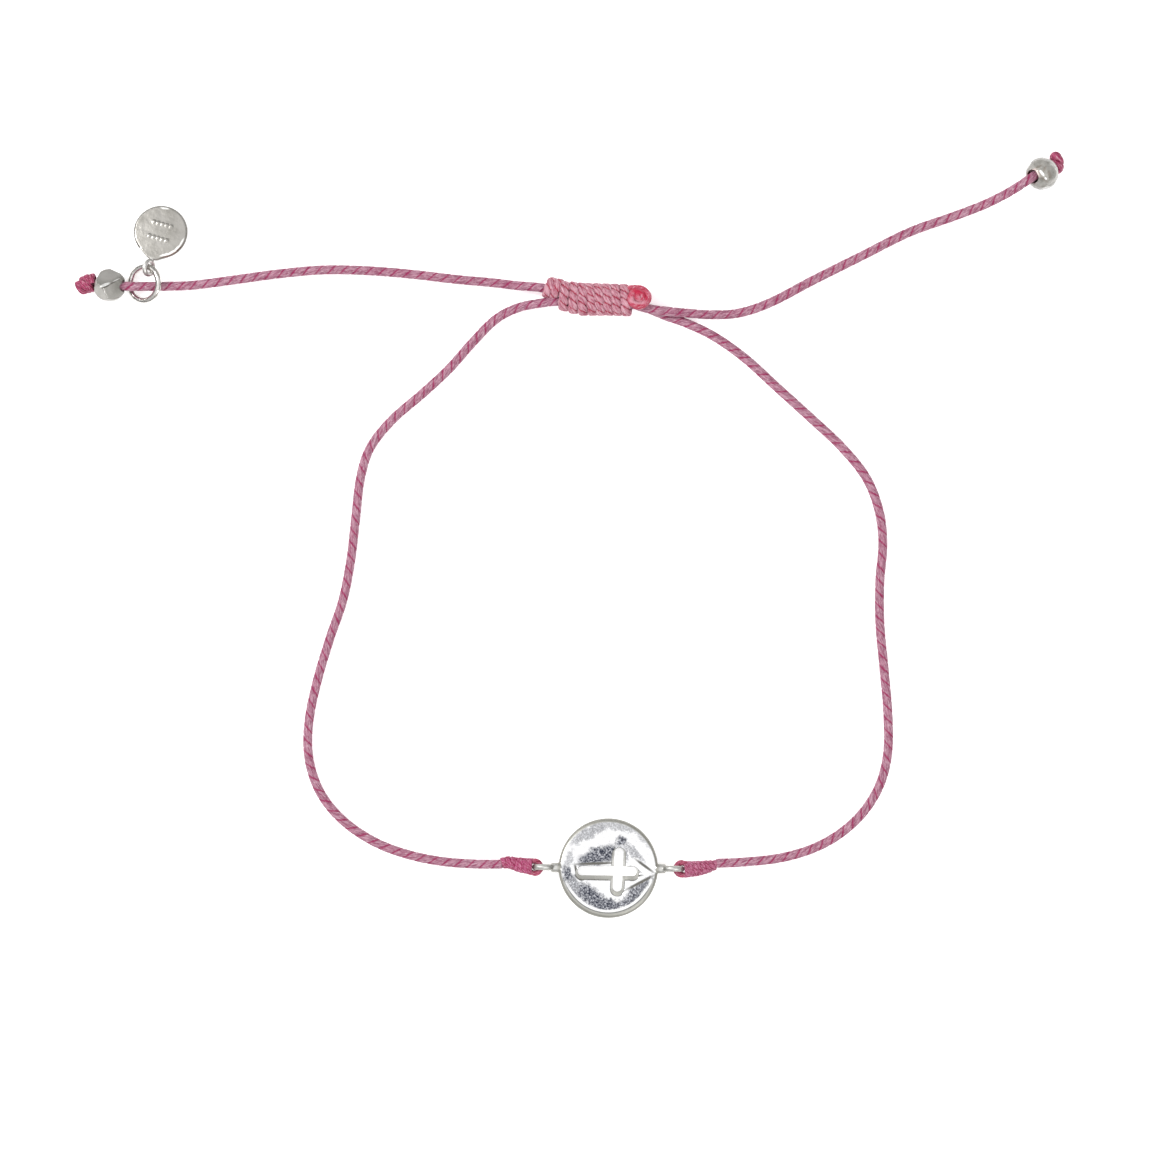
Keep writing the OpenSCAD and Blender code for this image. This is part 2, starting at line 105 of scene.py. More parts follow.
class Tree:
    """A node tree with short calls to add a node and to join sockets."""

    def __init__(self, tree):
        self.tree = tree

    def node(self, kind, inputs=(), **settings):
        """A new node. Each of its inputs takes a value or is joined to a socket."""
        n = self.tree.nodes.new(kind)
        for name, value in settings.items():
            setattr(n, name, value)
        for key, value in dict(inputs).items():
            if isinstance(value, bpy.types.NodeSocket):
                self.tree.links.new(value, n.inputs[key])
            else:
                n.inputs[key].default_value = value
        return n

    def math(self, operation, *values):
        return self.node("ShaderNodeMath", enumerate(values), operation=operation).outputs[0]

    def vector(self, operation, *values):
        return self.node("ShaderNodeVectorMath", enumerate(values), operation=operation).outputs[0]

    def link(self, a, b):
        self.tree.links.new(a, b)

    def store(self, geometry, name, value, kind="FLOAT"):
        """The geometry, with a value kept on its points under a name."""
        return self.node("GeometryNodeStoreNamedAttribute",
                         {"Geometry": geometry, "Name": name, "Value": value},
                         data_type=kind, domain="POINT").outputs[0]

    def stored(self, name, kind="FLOAT"):
        """The value that the points keep under a name."""
        return self.node("GeometryNodeInputNamedAttribute", {"Name": name}, data_type=kind).outputs[0]

    def millimetres(self):
        """A point's own place on its piece, in millimetres."""
        place = self.node("ShaderNodeTexCoord").outputs["Object"]
        return self.node("ShaderNodeVectorMath", {0: place, 3: 1 / MM}, operation="SCALE").outputs[0]

    def noise(self, place, scale, detail, rough=0.5):
        """Noise from 0 to 1 at a place, with scale as waves to a unit of the place."""
        return self.node("ShaderNodeTexNoise", {"Vector": place, "Scale": scale, "Detail": detail,
                                                "Roughness": rough}).outputs[0]

    def ramp(self, value, low, high, start=0.0, end=1.0, kind="LINEAR"):
        """A value that goes from start to end while another goes from low to high."""
        return self.node("ShaderNodeMapRange", {"Value": value, "From Min": low, "From Max": high,
                                                "To Min": start, "To Max": end},
                         interpolation_type=kind).outputs[0]

    def mix(self, share, under, over):
        """One colour with a share of another over it."""
        return self.node("ShaderNodeMix", {0: share, 6: under, 7: over}, data_type="RGBA").outputs[2]

    def bump(self, height, distance):
        """A normal that follows a height, with its distance in millimetres."""
        return self.node("ShaderNodeBump", {"Height": height, "Strength": 1.0,
                                            "Distance": distance * MM}).outputs[0]


def new_group(name, kind, ins, outs):
    """A node group with named sockets: ins and outs are (name, socket type, default) rows."""
    group = bpy.data.node_groups.new(name, kind)
    for label, socket, value in ins:
        s = group.interface.new_socket(name=label, in_out="INPUT", socket_type=socket)
        if value is not None:
            s.default_value = value
    for label, socket in outs:
        group.interface.new_socket(name=label, in_out="OUTPUT", socket_type=socket)
    t = Tree(group)
    return group, t, t.node("NodeGroupInput").outputs, t.node("NodeGroupOutput").inputs


# Lays a two-ply cord along a line. The section is a round with two grooves, and it turns
# once in each lay length. The fibres of each ply lean back against the lay.
fibre_lean = -1.5 * math.pi
lay_cord, t, given, result = new_group(
    "lay two-ply cord", "GeometryNodeTree",
    [("Line", "NodeSocketGeometry", None), ("Diameter", "NodeSocketFloat", 0.0009),
     ("Lay", "NodeSocketFloat", 0.00255), ("Step", "NodeSocketFloat", 0.0001),
     ("Groove", "NodeSocketFloat", 0.2), ("Narrowing", "NodeSocketFloat", 4.0),
     ("Sides", "NodeSocketInt", 26), ("Finish", "NodeSocketMaterial", None)],
    [("Cord", "NodeSocketGeometry")])
line = t.node("GeometryNodeResampleCurve", {"Curve": given["Line"], "Length": given["Step"]},
              mode="LENGTH").outputs[0]
along = t.node("GeometryNodeSplineParameter").outputs["Length"]
turns = t.math("DIVIDE", along, given["Lay"])
line = t.store(line, "turns", turns)
line = t.store(line, "along", along)
line = t.store(line, "line", t.node("GeometryNodeInputPosition").outputs[0], "FLOAT_VECTOR")
line = t.node("GeometryNodeSetCurveTilt",
              {"Curve": line, "Tilt": t.math("MULTIPLY", turns, -2 * math.pi)}).outputs[0]
radius = t.math("MULTIPLY", given["Diameter"], 0.5)
section = t.node("GeometryNodeCurvePrimitiveCircle",
                 {"Resolution": given["Sides"], "Radius": radius}).outputs[0]
place = t.node("GeometryNodeInputPosition").outputs[0]
around = t.vector("NORMALIZE", place)
side = t.math("ABSOLUTE", t.node("ShaderNodeSeparateXYZ", {0: around}).outputs["Y"])
dip = t.math("POWER", t.math("SUBTRACT", 1.0, side), given["Narrowing"])
keep = t.math("SUBTRACT", 1.0, t.math("MULTIPLY", dip, given["Groove"]))
section = t.store(section, "around", around, "FLOAT_VECTOR")
grooved = t.node("ShaderNodeVectorMath", {0: place, 3: keep}, operation="SCALE").outputs[0]
section = t.node("GeometryNodeSetPosition", {"Geometry": section, "Position": grooved}).outputs[0]
tube = t.node("GeometryNodeCurveToMesh",
              {"Curve": line, "Profile Curve": section, "Fill Caps": True}).outputs[0]
leaning = t.node("ShaderNodeVectorRotate",
                 {"Vector": t.stored("around", "FLOAT_VECTOR"),
                  "Angle": t.math("MULTIPLY", t.stored("turns"), fibre_lean)},
                 rotation_type="Z_AXIS").outputs[0]
leaning = t.node("ShaderNodeSeparateXYZ", {0: leaning}).outputs
far_along = t.math("DIVIDE", t.stored("along"), given["Diameter"])
fibre = t.node("ShaderNodeCombineXYZ", {"X": leaning["X"], "Y": leaning["Y"], "Z": far_along}).outputs[0]
tube = t.store(tube, "fibre", fibre, "FLOAT_VECTOR")
tube = t.node("GeometryNodeSetShadeSmooth", {"Geometry": tube}).outputs[0]
tube = t.node("GeometryNodeRealizeInstances", {"Geometry": tube}).outputs[0]
tube = t.node("GeometryNodeSetMaterial", {"Geometry": tube, "Material": given["Finish"]}).outputs[0]
t.link(tube, result["Cord"])


def curve_of(name, points):
    """A poly curve through points in metres."""
    data = bpy.data.curves.new(name, "CURVE")
    data.dimensions = "3D"
    spline = data.splines.new("POLY")
    spline.points.add(len(points) - 1)
    for point, place in zip(spline.points, points):
        point.co = (*place, 1)
    return data


def made_by(tree, name, data, values):
    """The mesh that a Geometry Nodes tree makes from data, as a new object at the origin."""
    source = bpy.data.objects.new(name + "_source", data)
    bpy.context.scene.collection.objects.link(source)
    modifier = source.modifiers.new("nodes", "NODES")
    modifier.node_group = tree
    for item in tree.interface.items_tree:
        if item.item_type == "SOCKET" and item.in_out == "INPUT" and item.name in values:
            modifier[item.identifier] = values[item.name]
    depsgraph = bpy.context.evaluated_depsgraph_get()
    mesh = bpy.data.meshes.new_from_object(source.evaluated_get(depsgraph), depsgraph=depsgraph,
                                           preserve_all_data_layers=True)
    source.modifiers.remove(modifier)
    bpy.data.objects.remove(source)
    mesh.name = name
    piece = bpy.data.objects.new(name, mesh)
    bpy.context.scene.collection.objects.link(piece)
    return piece


def laid_cord(name, points, diameter, lay, finish, groove=0.2, narrowing=4.0, step=0.1, sides=26):
    """Two-ply cord along points in metres, with its sizes in millimetres."""
    return made_by(lay_cord, name, curve_of(name, points),
                   {"Diameter": diameter * MM, "Lay": lay * MM, "Step": step * MM, "Groove": groove,
                    "Narrowing": narrowing, "Sides": sides, "Finish": finish})


# Fibres of waxed yarn: short pale and dark flecks along the cord, and painted shade in the dark line
# between its plies
pale_fibre = (0.78, 0.62, 0.66, 1)
yarn_look, t, given, result = new_group(
    "waxed yarn", "ShaderNodeTree",
    [("Light", "NodeSocketColor", (0.6, 0.35, 0.45, 1)), ("Mid", "NodeSocketColor", (0.5, 0.25, 0.35, 1)),
     ("Dark", "NodeSocketColor", (0.3, 0.08, 0.15, 1)), ("Groove shade width", "NodeSocketFloat", 0.25),
     ("Streaks", "NodeSocketFloat", 3.5), ("Mottle", "NodeSocketFloat", 1.0)],
    [("Color", "NodeSocketColor"), ("Height", "NodeSocketFloat"), ("Roughness", "NodeSocketFloat")])
fibre = t.node("ShaderNodeAttribute", attribute_name="fibre").outputs["Vector"]
around = t.node("ShaderNodeSeparateXYZ",
                {0: t.node("ShaderNodeAttribute", attribute_name="around").outputs["Vector"]}).outputs


def yarn_noise(across, along, low, high):
    """Noise over the fibres from 0 at the level low to 1 at high, with waves across and along the cord."""
    stretch = t.node("ShaderNodeCombineXYZ", {"X": across, "Y": across, "Z": along}).outputs[0]
    place = t.vector("MULTIPLY", fibre, stretch)
    return t.ramp(t.noise(place, scale=1.0, detail=2.0, rough=0.6), low, high)


streaks = yarn_noise(given["Streaks"], 1.5, 0.38, 0.62)
pale = yarn_noise(t.math("MULTIPLY", given["Streaks"], 1.9), 3.2, 0.55, 0.68)
specks = yarn_noise(t.math("MULTIPLY", given["Streaks"], 1.6), 2.6, 0.42, 0.32)
mottle = yarn_noise(0.9, 0.45, 0.35, 0.7)
body = t.mix(streaks, given["Mid"], given["Light"])
body = t.mix(t.math("MULTIPLY", pale, 0.55), body, pale_fibre)
spots = t.math("MAXIMUM", t.math("MULTIPLY", mottle, 0.3), t.math("MULTIPLY", specks, 0.55))
body = t.mix(t.math("MULTIPLY", spots, given["Mottle"]), body, given["Dark"])
# painted shade: a dark band along the groove between the plies, with a wandering edge
wander = t.math("MULTIPLY", t.math("SUBTRACT", streaks, 0.5), 0.12)
edge = t.math("ADD", t.math("ABSOLUTE", around["Y"]), wander)
groove = t.ramp(edge, 0.0, given["Groove shade width"], 1.0, 0.0, "SMOOTHSTEP")
t.link(t.mix(t.math("MULTIPLY", groove, 0.95), body, given["Dark"]), result["Color"])
height = t.math("SUBTRACT", t.math("MULTIPLY", streaks, 0.6), t.math("MULTIPLY", groove, 0.6))
t.link(height, result["Height"])
t.link(t.math("SUBTRACT", 0.75, t.math("MULTIPLY", streaks, 0.25)), result["Roughness"])


def new_finish(name):
    """A new material, its tree and the inputs of its shader."""
    material = bpy.data.materials.new(name)
    material.use_nodes = True
    t = Tree(material.node_tree)
    return material, t, t.tree.nodes["Principled BSDF"].inputs


def yarn(name, light, mid, dark, groove_shade_width=0.25, streaks=3.5, mottle=1.0):
    """Waxed yarn in three shades, from the top of a fibre to the line between two plies; the dark one gives
    dark flecks and the painted shade along that line.
    """
    material, t, shader = new_finish(name)
    look = t.node("ShaderNodeGroup", {"Light": (*light, 1), "Mid": (*mid, 1), "Dark": (*dark, 1),
                                      "Groove shade width": groove_shade_width, "Streaks": streaks, "Mottle": mottle},
                  node_tree=yarn_look).outputs
    t.link(look["Color"], shader["Base Color"])
    t.link(look["Roughness"], shader["Roughness"])
    t.link(t.bump(look["Height"], distance=0.03), shader["Normal"])
    shader["Specular IOR Level"].default_value = 0.3
    return material


cord_finish = yarn("mauve_cord", light=(0.47, 0.255, 0.33), mid=(0.25, 0.09, 0.143),
                   dark=(0.29, 0.012, 0.083), groove_shade_width=0.5)
left_line = through(left_route)
right_line = through(right_route)
# fibres that stand off the cord make it look a little wider than it measures
cord_seen = cord_diameter + cord_fluff
left_cord = laid_cord("left_cord", left_line, cord_seen, cord_lay, cord_finish, groove=0.12)
right_cord = laid_cord("right_cord", right_line, cord_seen, cord_lay, cord_finish, groove=0.12)


def stands_for(piece, node):
    """Puts a finished piece in the place of a node of the frame."""
    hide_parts(node)
    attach(piece, "root")


stands_for(left_cord, "cord_left")
stands_for(right_cord, "cord_right")

# Sliding knot.
# Turns of the same cord in a redder dye lot, wound tight round both strands. The wrapping
# starts in a turn round one strand, and ends in a coil of cord that is set with glue.
knot_cord = 0.86
knot_axis = [(-4.9, 30.46, 1.3), (-3.75, 30.18, 1.3), (-2.6, 30.0, 1.3), (-1.48, 29.98, 1.3),
             (-0.38, 29.97, 1.3), (0.74, 29.94, 1.3), (1.86, 29.9, 1.3)]


def wound(axis, turns, radii, first, hand=1, square=1.0):
    """Points in metres of a line wound round an axis, which is given by points in millimetres.

    radii gives the reach sideways and the reach up at a share of the way; first is an angle in
    degrees, hand is -1 for a left-handed winding, and square below 1 makes each turn boxier."""
    steps = 24
    line = [p / MM for p in through(axis)]
    points = []
    for k in range(int(turns * steps) + 1):
        share = k / (turns * steps)
        at = min(share, 1.0) * (len(line) - 1)
        i = min(int(at), len(line) - 2)
        ahead = (line[i + 1] - line[i]).normalized()
        aside = Vector((0, 0, 1)).cross(ahead).normalized()
        above = ahead.cross(aside)
        angle = math.radians(first) + hand * 2 * math.pi * k / steps
        c, s = math.cos(angle), math.sin(angle)
        wide, tall = radii(share)
        place = line[i].lerp(line[i + 1], at - i)
        place = place + aside * wide * math.copysign(abs(c) ** square, c)
        place = place + above * tall * math.copysign(abs(s) ** square, s)
        points.append(place * MM)
    return points


def table(rows):
    """Function that reads a value, or several, off rows of (share of the way, value, ...)."""
    def read(share):
        for a, b in zip(rows, rows[1:]):
            if share <= b[0]:
                t = (share - a[0]) / (b[0] - a[0])
                t = t * t * (3 - 2 * t)
                return [p + (q - p) * t for p, q in zip(a[1:], b[1:])]
        return list(rows[-1][1:])
    return read


def pressed(piece, axis, inner, power=3.5, wide=1.2, outer=1.0):
    """Presses the section of each turn of a winding round an axis, in millimetres, to a soft square.

    It becomes wider along the axis by the factor wide, so that each turn lies against the next.
    Its inner half is made thinner by the factor inner, and its outer half by outer."""
    line = [Vector(p) * MM for p in axis]
    mesh = piece.data
    centres = mesh.attributes["line"].data
    for vertex, centre in zip(mesh.vertices, centres):
        c = centre.vector
        i = min(range(len(line) - 1), key=lambda k: (c - (line[k] + line[k + 1]) / 2).length)
        ahead = (line[i + 1] - line[i]).normalized()
        out = c - line[i]
        out = (out - ahead * out.dot(ahead)).normalized()
        away = vertex.co - c
        a, o = away.dot(ahead), away.dot(out)
        r = math.hypot(a, o)
        if r == 0:
            continue
        wider = r / (abs(a) ** power + abs(o) ** power) ** (1 / power)
        lower = wider * (outer if o > 0 else inner)
        vertex.co = vertex.co + ahead * a * (wider * wide - 1) + out * o * (lower - 1)


knot_finish = yarn("salmon_cord", light=(0.62, 0.34, 0.40), mid=(0.34, 0.10, 0.15),
                   dark=(0.36, 0.010, 0.045), groove_shade_width=0.42, mottle=0.8)
# rows of share of the way, reach sideways and reach up
wrap_reach = table([(0, 1.02, 0.86), (0.17, 1.18, 0.86), (0.33, 1.26, 0.86), (1, 1.2, 0.86)])
wrap_line = wound(knot_axis, turns=7.92, radii=wrap_reach, first=-90, square=0.85)
wrapping = laid_cord("wrapping", wrap_line, diameter=knot_cord, lay=1.42, finish=knot_finish, groove=0.4,
                     narrowing=2.1, step=0.07)
pressed(wrapping, knot_axis, inner=0.42)
collar_axis = [(-6.22, 31.22, 1.2), (-5.66, 31.1, 1.25), (-5.1, 30.98, 1.3)]
collar_line = wound(collar_axis, turns=1.75, radii=lambda share: (0.83, 0.76), first=-120, hand=-1)
collar = laid_cord("collar", collar_line, diameter=0.9, lay=1.6, finish=knot_finish, groove=0.3,
                   narrowing=2.3, step=0.06)
pressed(collar, collar_axis, power=2.6, wide=1.05, inner=0.6, outer=0.62)

# One soft oval patch in a plane, with its middle and its two half-widths in millimetres
patch_group, t, given, result = new_group(
    "soft oval patch", "ShaderNodeTree",
    [("Place", "NodeSocketVector", None), ("Middle", "NodeSocketVector", (0, 0, 0)),
     ("Reach", "NodeSocketVector", (1, 1, 1)), ("Turn", "NodeSocketFloat", 0.0),
     ("Strength", "NodeSocketFloat", 1.0), ("Softness", "NodeSocketFloat", 0.3)],
    [("Value", "NodeSocketFloat")])
away = t.vector("SUBTRACT", given["Place"], given["Middle"])
away = t.node("ShaderNodeVectorRotate", {"Vector": away, "Angle": t.math("MULTIPLY", given["Turn"], -1.0)},
              rotation_type="Z_AXIS").outputs[0]
away = t.vector("MULTIPLY", t.vector("DIVIDE", away, given["Reach"]), (1, 1, 0))
far = t.node("ShaderNodeVectorMath", {0: away}, operation="LENGTH").outputs["Value"]
oval = t.ramp(far, t.math("SUBTRACT", 1.0, given["Softness"]), t.math("ADD", 1.0, given["Softness"]),
              1.0, 0.0, "SMOOTHSTEP")
t.link(t.math("MULTIPLY", oval, given["Strength"]), result["Value"])


def most_of(t, rows, at, softness):
    """The strongest of several soft ovals at the place at.

    Each row is x, y, reach along and across in millimetres, turn in degrees and strength."""
    best = 0.0
    for x, y, long, wide, turn, strength in rows:
        oval = t.node("ShaderNodeGroup", {"Place": at, "Middle": (x, y, 0), "Reach": (long, wide, 1),
                                          "Turn": math.radians(turn), "Strength": strength,
                                          "Softness": softness}, node_tree=patch_group).outputs[0]
        best = t.math("MAXIMUM", oval, best)
    return best


def touched(material, middle, touches):
    """Adds touches to a finish, round a middle in millimetres: each is a shade, a softness and ovals, as
    painted glints, reflections and shade on the silver.
    """
    t = Tree(material.node_tree)
    base = t.tree.nodes["Principled BSDF"].inputs["Base Color"]
    shade = base.links[0].from_socket
    place = t.vector("SUBTRACT", t.millimetres(), (*middle, 0))
    for colour, softness, rows in touches:
        shade = t.mix(most_of(t, rows, place, softness), shade, (*colour, 1))
    t.link(shade, base)


# the glued coil: a core, low turns beside the strands, and a turn that crosses over them
coil_core = [(2.95, 30.5, 0.5), (2.95, 30.45, 1.2), (2.78, 30.2, 2.1), (2.75, 30.12, 2.5)]
coil_low = [(3.75, 30.15, 0.5), (3.72, 30.6, 0.5), (3.2, 30.93, 0.5), (2.5, 30.88, 0.5), (2.1, 30.4, 0.55),
            (2.12, 30.55, 1.2), (2.6, 30.95, 1.25), (3.3, 30.92, 1.25), (3.8, 30.5, 1.28), (3.8, 30.2, 1.5)]
coil_top = [(1.75, 30.75, 1.75), (2.1, 30.97, 1.95), (2.7, 31.0, 2.02), (3.3, 30.9, 2.06),
            (3.78, 30.45, 2.1), (3.84, 29.95, 2.3), (3.5, 29.45, 2.52), (2.9, 29.25, 2.62),
            (2.35, 29.5, 2.6), (2.15, 30.0, 2.5), (2.4, 30.5, 2.42), (2.9, 30.6, 2.4), (3.25, 30.3, 2.38),
            (3.2, 29.98, 2.36), (2.88, 29.95, 2.4), (2.8, 30.2, 2.46), (3.05, 30.3, 2.5)]
coil_middle = (3.0, 30.15)
glue_finish = yarn("glued_cord", light=(0.54, 0.17, 0.23), mid=(0.44, 0.035, 0.085),
                   dark=(0.40, 0.008, 0.035), streaks=2.0, groove_shade_width=0.2, mottle=1.5)
coil = [laid_cord(name, through(route), diameter=wide, lay=2.2, finish=glue_finish, groove=0.08,
                  step=step, sides=sides)
        for name, route, wide, step, sides in (("glued_coil", coil_top, 0.78, 0.06, 24),
                                               ("glued_coil_base", coil_low, 0.8, 0.08, 20),
                                               ("glued_coil_core", coil_core, 1.0, 0.1, 20))]
touched(glue_finish, coil_middle, [
    ((0.62, 0.30, 0.36), 0.5, [(-0.1, -0.55, 0.65, 0.22, -8, 0.75), (-0.75, -0.35, 0.3, 0.3, 30, 0.7),
                               (0.1, -0.05, 0.25, 0.12, 20, 0.6)]),
    ((0.46, 0.012, 0.05), 0.5, [(-0.2, 0.5, 0.6, 0.25, -18, 0.9), (0.55, 0.15, 0.2, 0.45, 20, 0.75)])])
for piece in (wrapping, collar, *coil):
    stands_for(piece, "sliding_knot")

# Disc.
# Cast silver, 10 mm across, with a cross cut right through it and an eye cast on each side.
# It was planished and polished, so its edges are soft and its face holds faint dents.


def softened(node, name, voxel, rounds, dent, dent_size):
    """A copy of a node as one skin with soft edges and faint dents, with its sizes in millimetres.

    Its attribute "side" goes from 0 on the flat faces to 1 on the walls."""
    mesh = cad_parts[node].data.copy()
    mesh.transform(Matrix.Scale(1 / MM, 4))
    shape = bmesh.new()
    shape.from_mesh(mesh)
    bmesh.ops.remove_doubles(shape, verts=shape.verts, dist=0.001)
    shape.to_mesh(mesh)
    shape.free()
    source = bpy.data.objects.new(name + "_source", mesh)
    bpy.context.scene.collection.objects.link(source)
    fuse = source.modifiers.new("fuse", "REMESH")
    fuse.mode = "VOXEL"
    fuse.voxel_size = voxel
    soften = source.modifiers.new("soften", "SMOOTH")
    soften.factor = 0.5
    soften.iterations = rounds
    depsgraph = bpy.context.evaluated_depsgraph_get()
    skin = bpy.data.meshes.new_from_object(source.evaluated_get(depsgraph), depsgraph=depsgraph)
    bpy.data.objects.remove(source)
    moved = [v.co + v.normal * dent * noise.fractal(v.co / dent_size, 0.5, 2, 3) for v in skin.vertices]
    for vertex, place in zip(skin.vertices, moved):
        vertex.co = place
    face = sum((p.normal * p.area for p in skin.polygons if p.normal.z > 0.8), Vector()).normalized()
    sides = skin.attributes.new("side", "FLOAT", "POINT")
    for vertex, side in zip(skin.vertices, sides.data):
        side.value = 1 - abs(vertex.normal.dot(face))
    skin.transform(Matrix.Scale(MM, 4))
    skin.name = name
    skin.materials.clear()
    skin.shade_smooth()
    piece = bpy.data.objects.new(name, skin)
    bpy.context.scene.collection.objects.link(piece)
    return piece


# Silver: patches of slight tarnish, fine rubbed grain, shallow dents, and painted shade on its walls
silver_look, t, given, result = new_group(
    "worn silver with painted wall shade", "ShaderNodeTree",
    [("Bright", "NodeSocketColor", (0.9, 0.9, 0.9, 1)), ("Dull", "NodeSocketColor", (0.6, 0.6, 0.6, 1)),
     ("Patch", "NodeSocketFloat", 0.8), ("Grain", "NodeSocketFloat", 8.0),
     ("Smooth", "NodeSocketFloat", 0.12), ("Rough", "NodeSocketFloat", 0.3),
     ("Edge", "NodeSocketColor", (0.3, 0.3, 0.3, 1)), ("Edge share", "NodeSocketFloat", 0.0)],
    [("Color", "NodeSocketColor"), ("Roughness", "NodeSocketFloat"), ("Height", "NodeSocketFloat")])
place = t.millimetres()
patch = t.ramp(t.noise(place, given["Patch"], detail=3.0), 0.35, 0.68)
grain = t.ramp(t.noise(place, given["Grain"], detail=2.0, rough=0.6), 0.3, 0.7)
worn = t.math("MULTIPLY", patch, t.math("ADD", 0.55, t.math("MULTIPLY", grain, 0.45)))
flat = t.mix(worn, given["Bright"], given["Dull"])
# painted shade: the walls take on the Edge shade
side = t.ramp(t.node("ShaderNodeAttribute", attribute_name="side").outputs["Fac"], 0.2, 0.6)
t.link(t.mix(t.math("MULTIPLY", side, given["Edge share"]), flat, given["Edge"]), result["Color"])
t.link(t.ramp(worn, 0.0, 1.0, given["Smooth"], given["Rough"]), result["Roughness"])
t.link(t.math("ADD", t.math("MULTIPLY", grain, 0.5), patch), result["Height"])


def silver(name, bright, dull, patch, grain, smooth, rough, bump, edge=(0.3, 0.29, 0.26), edge_share=0.0,
           gloss=0.0, metal=1.0):
    """Silver between a bright and a dull shade, in patches and in a fine grain.

    patch and grain are waves to a millimetre, and bump is a height in millimetres. Its walls take on the
    shade edge as painted shade, by the share edge_share. gloss adds a sharp glint, and a sandy skin has
    less metal in its look."""
    material, t, shader = new_finish(name)
    look = t.node("ShaderNodeGroup", {"Bright": (*bright, 1), "Dull": (*dull, 1), "Patch": patch,
                                      "Grain": grain, "Smooth": smooth, "Rough": rough,
                                      "Edge": (*edge, 1), "Edge share": edge_share},
                  node_tree=silver_look).outputs
    t.link(look["Color"], shader["Base Color"])
    t.link(look["Roughness"], shader["Roughness"])
    t.link(t.bump(look["Height"], bump), shader["Normal"])
    shader["Metallic"].default_value = metal
    shader["Coat Weight"].default_value = gloss
    shader["Coat Roughness"].default_value = 0.08
    return material


disc_middle = (-0.1, -27.25)
disc_radius = 5.0
# the inner edge of the rim's painted grey band, how much wider the band is at the top and bottom and again
# below, and how far inside its edge the painted dark line and the painted bright hollow run
rim_at = 4.76
rim_swell_ends, rim_swell_low = 0.16, 0.14
rim_line_in, hollow_in = 0.04, 0.22
# painted reflection: dark patches of the polished face, where it shows the room: x, y, reach along and
# across, turn, strength
painted_room_reflections = [
    (-0.85, 1.3, 2.3, 0.8, 20, 1.0), (1.3, 2.75, 0.55, 0.4, 20, 0.95), (1.75, 1.6, 0.9, 0.2, 100, 0.6),
    (2.6, 1.6, 1.4, 0.35, -51, 0.6), (-1.8, -2.75, 1.8, 0.85, -38, 1.0), (-0.2, -3.6, 1.7, 0.62, -3, 1.0),
    (1.9, -3.3, 0.9, 0.5, 28, 0.95), (2.9, -2.3, 1.4, 0.55, 48, 0.95), (3.9, -1.25, 0.8, 0.3, 58, 0.8),
    (-4.2, -0.6, 0.5, 0.9, 0, 1.0), (-3.4, -1.7, 1.5, 0.7, -50, 0.75), (-3.9, 0.9, 0.35, 0.9, -12, 0.5),
    (-1.9, 3.6, 2.1, 0.6, 28, 0.6), (1.2, 4.1, 2.0, 0.4, -12, 0.5), (3.6, 2.9, 1.2, 0.3, -52, 0.4)]
# thin dark lines of painted shade and reflection beside the lip of the cross and the right eye, in the same
# way
painted_lip_lines = [
    (-1.25, 0.5, 1.95, 0.13, 2, 1.0), (-3.25, -0.15, 0.12, 0.6, 12, 1.0),
    (-3.0, -0.95, 0.4, 0.12, -38, 0.9), (3.65, 0.25, 1.1, 0.13, -36, 1.0),
    (2.55, -0.25, 0.5, 0.12, -60, 0.9), (3.2, -1.4, 1.6, 0.14, 27, 1.0), (0.62, 1.5, 0.1, 0.6, 0, 0.7)]
# shades of the painted reflection of the room, of the face where it is bright, and of the painted shade and
# highlight along its lines, rim and walls
painted_room_dark, painted_room_light = (0.03, 0.035, 0.055, 1), (0.80, 0.81, 0.85, 1)
face_bright, face_dull = (0.95, 0.95, 0.95, 1), (0.62, 0.61, 0.60, 1)
painted_lip_shade, painted_rim_shade = (0.16, 0.155, 0.14, 1), (0.33, 0.325, 0.285, 1)
painted_rim_line_shade, painted_hollow_highlight = (0.10, 0.10, 0.085, 1), (0.97, 0.97, 0.96, 1)
painted_wall_shade = (0.30, 0.295, 0.26, 1)

# Polished silver: bright with grey clouds, and dark and specked with a painted reflection where it shows
# the room
polished, t, shader = new_finish("polished_silver")
place = t.vector("SUBTRACT", t.millimetres(), (*disc_middle, 0))
warp = t.node("ShaderNodeTexNoise", {"Vector": place, "Scale": 1.5, "Detail": 4.0, "Roughness": 0.65})
warp = t.vector("SUBTRACT", warp.outputs["Color"], (0.5, 0.5, 0.5))
bent = t.vector("ADD", place, t.vector("MULTIPLY", warp, (1.5, 1.5, 0)))
# painted reflection of the room, in dark specked patches
dark = most_of(t, painted_room_reflections, bent, softness=0.35)
painted_lip_mask = most_of(t, painted_lip_lines, place, softness=0.5)
speckle = t.ramp(t.noise(place, scale=5.5, detail=3.0, rough=0.8), 0.455, 0.70)
clouds = t.ramp(t.noise(place, scale=3.4, detail=3.0, rough=0.6), 0.5, 0.72)
face = t.mix(t.math("MULTIPLY", clouds, 0.25), face_bright, face_dull)
face = t.mix(dark, face, t.mix(speckle, painted_room_dark, painted_room_light))
# painted shade and reflection: thin dark lines beside the lip of the cross and the right eye
face = t.mix(painted_lip_mask, face, painted_lip_shade)
